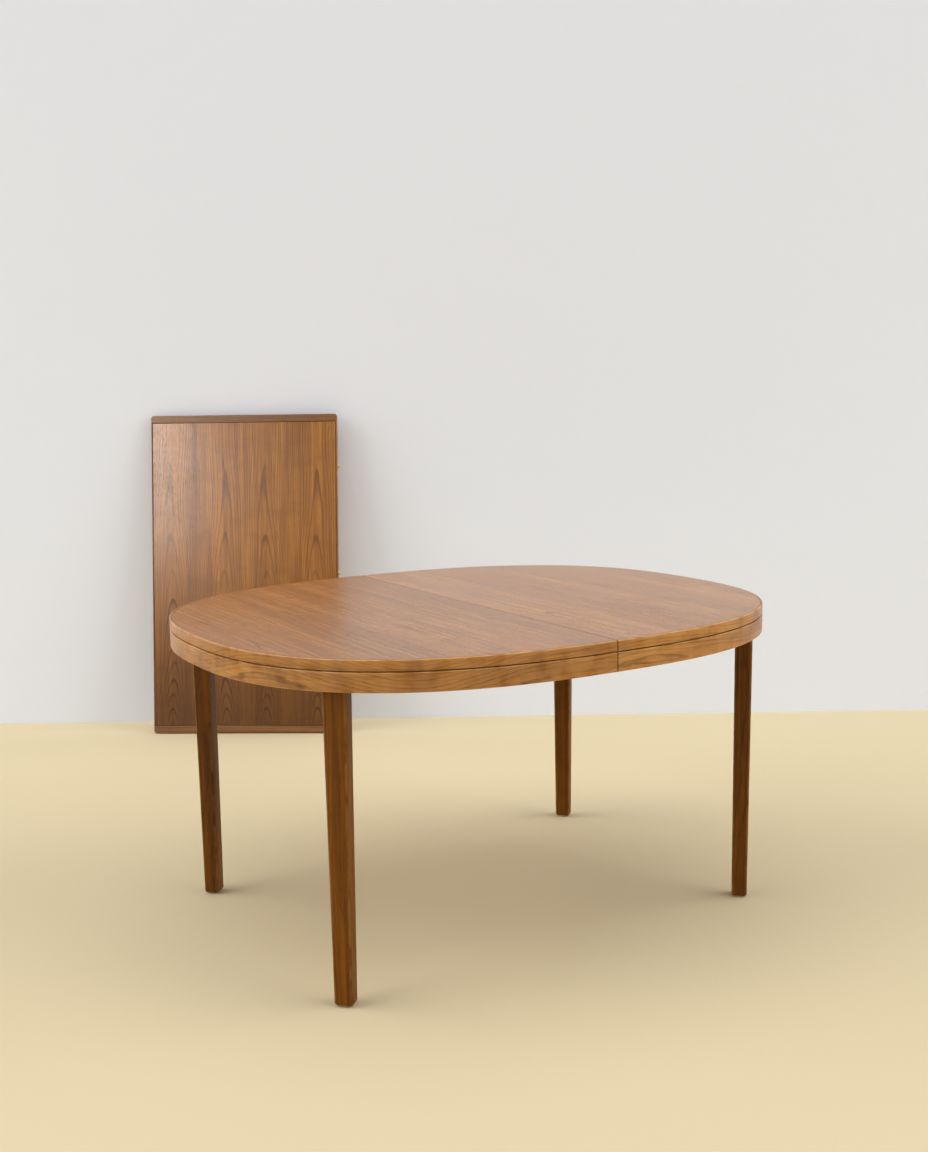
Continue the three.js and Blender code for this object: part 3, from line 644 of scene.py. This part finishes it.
def make_bolts(half, end, place):
    """Hanger bolts with a thread that sticks out, a washer and a chamfered six-sided nut."""
    thread = [(BOLT_RADIUS - THREAD_DEPTH * (k % 2), THREAD_START + THREAD_STEP * k)
              for k in range(THREAD_STEPS)]
    shank = [(BOLT_RADIUS, BOLT_START)] + thread + [(BOLT_RADIUS - 2 * THREAD_DEPTH, BOLT_END)]
    for row in ("lower", "upper"):
        node = f"leg_bolt_{row}_{end}_{half}"
        low, high = box(node)
        seat = Matrix.Translation((0, -BOLT_SEAT, (low.z + high.z) / 2))
        axis = place @ seat @ Matrix.Rotation(math.pi / 2, 4, "X")
        shells = [turned(shank, axis, 24), turned(WASHER, axis), turned(NUT, axis, NUT_SIDES)]
        own(stacks(f"bolt_{row}_{end}_{half}", shells, STEEL), f"{half}_half", node, slot="steel")


def make_glide(half, end, place):
    """A pad with a nail sunk in its middle."""
    middle = place @ Matrix.Translation((0, FOOT_DEPTH / 2, FLOOR))
    pad = stacks(f"foot_pad_{end}_{half}", [turned(PAD, middle, 40)], NYLON)
    own(pad, f"{half}_half", f"glide_{end}_{half}", slot="nylon")
    nail = stacks(f"glide_nail_{end}_{half}", [turned(NAIL, middle, 24)], STEEL)
    own(nail, f"{half}_half", slot="steel")


# ---- Loose leaf ----
def leaf_place():
    """From the leaf's own frame (x across, y up along it, z out of its face) to the table's."""
    low, high = box("leaf_panel")
    stand = Matrix.Rotation(LEAF_TURN, 4, "Z") @ Matrix.Rotation(math.pi / 2 - LEAF_LEAN, 4, "X")
    middle = Matrix.Translation((0, -LEAF_LENGTH / 2, -LEAF_THICKNESS / 2))
    return Matrix.Translation((low + high) / 2) @ stand @ middle


def rectangle_outline(x0, x1, y0, y1, corner=0.0):
    """An outline function for flat_board. corner rounds the two corners at y0."""
    def outline(inset):
        left, right, low, high = x0 + inset, x1 - inset, y0 + inset, y1 - inset
        if corner == 0:
            return [(left, low), (right, low), (right, high), (left, high)]
        radius = corner - inset
        arc = [math.pi / 2 * k / 10 for k in range(11)]
        across, down = left + radius, low + radius
        points = [(across - radius * math.cos(a), down - radius * math.sin(a)) for a in arc]
        across = right - radius
        points += [(across + radius * math.sin(a), down - radius * math.cos(a)) for a in arc]
        return points + [(right, high), (left, high)]
    return outline


def make_leaf():
    """The veneered board with its two lippings, and a cross band with rounded corners at each end."""
    place = leaf_place()
    half = LEAF_WIDTH / 2
    end = LEAF_END_STRIP + LEAF_GAP
    inner = half - LIPPING - LEAF_GAP

    def board(name, outline, node, material, where=place, ease=EDGE_EASE, shift=None, shade_and_dirt=0.0):
        """shift is given on a cross band, whose grain runs across the leaf."""
        def to_grain(x, y, z):
            return (y, x, z) if shift is None else (x + shift, y, z)

        piece = flat_board(name, outline, 0, LEAF_THICKNESS, ease, where, material, to_grain, shade_and_dirt)
        own(piece, "leaf", node, slot="teak_leaf")

    board("leaf_board", rectangle_outline(-inner, inner, end, LEAF_LENGTH - end), "leaf_panel", LEAF_WOOD,
          ease=END_EASE, shade_and_dirt=1.0)
    for name, side in SIDES.items():
        x0, x1 = sorted((side * half, side * (half - LIPPING)))
        edge = rectangle_outline(x0, x1, end, LEAF_LENGTH - end)
        board(f"leaf_edge_{name}", edge, f"leaf_lipping_{name}", STRIP_WOOD)
    strip = rectangle_outline(-half, half, 0, LEAF_END_STRIP, LEAF_CORNER)
    turn = Matrix.Translation((0, LEAF_LENGTH, 0)) @ Matrix.Rotation(math.pi, 4, "Z")
    for name, where, shift in (("bottom", place, 2.0), ("top", place @ turn, 5.0)):
        node = f"leaf_end_strip_{name}"
        board(f"leaf_cross_band_{name}", strip, node, STRIP_WOOD, where=where, shift=shift)
    return place


# ---- Dowels ----
def make_dowels(leaf):
    middle = (TOP_HIGH + TOP_LOW) / 2
    for i in (1, 2, 3):
        low, high = box(f"dowel_{i}")
        spot = Matrix.Translation((0, (low.y + high.y) / 2, middle)) @ Matrix.Rotation(math.pi / 2, 4, "Y")
        own(make_dowel(f"locating_dowel_{i}", spot), "left_half", f"dowel_{i}", slot="beech")
        along = LEAF_LENGTH / 2 + (low.y + high.y) / 2
        spot = leaf @ Matrix.Translation((LEAF_WIDTH / 2, along, LEAF_THICKNESS / 2))
        spot = spot @ Matrix.Rotation(math.pi / 2, 4, "Y")
        own(make_dowel(f"leaf_locating_dowel_{i}", spot), "leaf", f"leaf_dowel_{i}", slot="beech")


def make_dowel(name, place):
    """A dowel with a rounded nose."""
    arc = [math.pi / 2 * k / 5 for k in range(6)]
    nose = [(DOWEL_RADIUS - NOSE_INSET * (1 - math.cos(a)), DOWEL_SIDE + NOSE_LENGTH * math.sin(a))
            for a in arc]
    back = [(DOWEL_RADIUS - DOWEL_EASE / 2, DOWEL_END), (DOWEL_RADIUS, DOWEL_END + DOWEL_EASE)]
    return stacks(name, [turned(back + nose, place)], DOWEL_WOOD)


# ---- Screws under the top ----
def screw_spots(half, side):
    """Where one half has screws: in its runners and end rail, leg blocks, locks and stop plates."""
    runner_low = box("outer_runner_front")[0].z
    plate_low = box("lock_plate_front")[1].z - PLATE_THICKNESS
    stop_low = box("stop_plate_front")[0].z
    spots = [(side * x, y * RUNNER_LINE[half], runner_low) for x in RUNNER_SCREWS for y in ENDS.values()]
    spots += [(side * RAIL_LINE, y, runner_low) for y in RAIL_SCREWS]
    for end in ENDS.values():
        place = leg_place(side, end)
        spots += [tuple(place @ Vector((x, BLOCK_LINE, runner_low))) for x in BLOCK_SCREWS]
        if half == "left":
            spots += [(x, end * y, plate_low) for x, y in PLATE_SCREWS]
            spots += [(x, end * y, stop_low) for x, y in STOP_SCREWS]
        else:
            spots += [(x, end * y, plate_low) for x, y in KEEPER_SCREWS]
    return spots


def make_screws():
    for half, side in SIDES.items():
        shells = []
        for i, spot in enumerate(screw_spots(half, side)):
            down = Matrix.Translation(spot) @ Matrix.Rotation(math.pi, 4, "X")
            shells += screw(down @ Matrix.Rotation(2.4 * i, 4, "Z"))
        own(stacks(f"frame_screws_{half}", shells, STEEL), f"{half}_half", slot="steel")


# ---- Frame pieces that keep their CAD shape ----
FRAME_WOOD = {"outer_runner": BEECH_X, "inner_runner": BEECH_X, "end_rail": BEECH_Y, "leg_block": BEECH_Y,
              "stop_peg": BEECH_Z}
HARDWARE = {"stop_plate": STEEL, "lock_plate": BRASS, "lock_pin": STEEL, "lock_hook": BRASS,
            "lock_keeper": BRASS}
WOOD_EASE, METAL_EASE = 0.0012, 0.0004


def dress_cad_nodes():
    """Eases the edges of the CAD pieces and gives each its material."""
    for node, piece in NODES.items():
        for start, material in {**FRAME_WOOD, **HARDWARE}.items():
            if node.startswith(start):
                piece.data.materials.clear()
                piece.data.materials.append(material)
                ease(piece, WOOD_EASE if start in FRAME_WOOD else METAL_EASE)


def ease(piece, width):
    weld = piece.modifiers.new("weld", "WELD")
    weld.merge_threshold = 0.00002
    bevel = piece.modifiers.new("ease", "BEVEL")
    bevel.width = width
    bevel.segments = 2
    bevel.limit_method = "ANGLE"
    bevel.angle_limit = math.radians(35)
    bevel.harden_normals = False


# ---- Stage ----
FLOOR_REACH, WALL_REACH, WALL_HEIGHT = 14, 7, 3.4
WALL_GAP = 0.002  # behind the leaf's top edge


def make_stage():
    """A floor and a wall that show from their front only, so that they hide nothing in other views."""
    r = FLOOR_REACH
    floor = plane("floor", [(-r, -r, FLOOR), (r, -r, FLOOR), (r, r, FLOOR), (-r, r, FLOOR)])
    floor.data.materials.append(one_sided("floor_paint", rgb(0xc8b996), 0.85))
    strip = NODES["leaf_end_strip_top"]
    reach = max((strip.matrix_world @ v.co).dot(HEADING) for v in strip.data.vertices)
    base = HEADING * (reach + WALL_GAP) + Vector((0, 0, FLOOR))
    side, up = CAMERA_RIGHT * WALL_REACH, UP * WALL_HEIGHT
    wall = plane("wall", [base - side, base + side, base + side + up, base - side + up])
    wall.data.materials.append(one_sided("wall_paint", rgb(0xeff4ff), 0.8))
    wall.visible_shadow = False
    wall.visible_diffuse = False


def one_sided(name, colour, roughness):
    """Paint that is clear from behind."""
    s = Shader(name)
    s.surface.inputs["Base Color"].default_value = colour
    s.surface.inputs["Roughness"].default_value = roughness
    back = s.node("ShaderNodeNewGeometry", output=6)
    clear = s.node("ShaderNodeBsdfTransparent")
    both = s.node("ShaderNodeMixShader", [back, s.surface.outputs[0], clear])
    s.put(s.tree.nodes["Material Output"].inputs["Surface"], both)
    return s.material


def plane(name, corners):
    mesh = bpy.data.meshes.new(name)
    mesh.from_pydata([tuple(c) for c in corners], [], [(0, 1, 2, 3)])
    return add_object(name, mesh)


# ---- Light ----
WORLD_STRENGTH = 0.39
LIGHT_SPREAD = math.radians(60)
WINDOW_WIDTH, WINDOW_HEIGHT, WINDOW_POWER = 0.6, 1.3, 75


def make_lights():
    """Even light from both sides and above, and a window behind the camera that only gives gloss."""
    world = bpy.data.worlds.new("studio")
    world.use_nodes = True
    background = world.node_tree.nodes["Background"]
    background.inputs["Color"].default_value = rgb(0xf4f4f6)
    background.inputs["Strength"].default_value = WORLD_STRENGTH
    bpy.context.scene.world = world
    soft_light("light_left", UP * 1.7 - CAMERA_RIGHT * 3.6 - HEADING * 0.5, 2.7)
    soft_light("light_right", UP * 1.7 + CAMERA_RIGHT * 3.6 - HEADING * 0.5, 2.3)
    soft_light("light_above", UP, 1.3)
    gloss_window(UP * (FLOOR + 2.15) - HEADING * 3.4 - CAMERA_RIGHT * 3.0,
                 UP * (FLOOR + 0.8) + HEADING * 1.7 - CAMERA_RIGHT)


def soft_light(name, source, strength):
    """Parallel light from a wide source, which shows in no reflection."""
    data = bpy.data.lights.new(name, "SUN")
    data.energy = strength
    data.angle = LIGHT_SPREAD
    light = add_object(name, data)
    turn_light(light, source)
    light.visible_glossy = False


def gloss_window(place, target):
    """A window whose reflection gives the leaf its sheen. It gives gloss only."""
    data = bpy.data.lights.new("gloss_window", "AREA")
    data.shape = "RECTANGLE"
    data.size, data.size_y, data.energy = WINDOW_WIDTH, WINDOW_HEIGHT, WINDOW_POWER
    light = add_object("gloss_window", data)
    light.location = place
    turn_light(light, place - target)
    light.visible_diffuse = False


def turn_light(light, source):
    light.rotation_mode = "QUATERNION"
    light.rotation_quaternion = source.to_track_quat("Z", "Y")


bpy.context.scene.view_settings.view_transform = "Standard"
make_camera()
make_tops()
make_legs()
leaf_frame = make_leaf()
make_dowels(leaf_frame)
make_screws()
dress_cad_nodes()
make_stage()
make_lights()
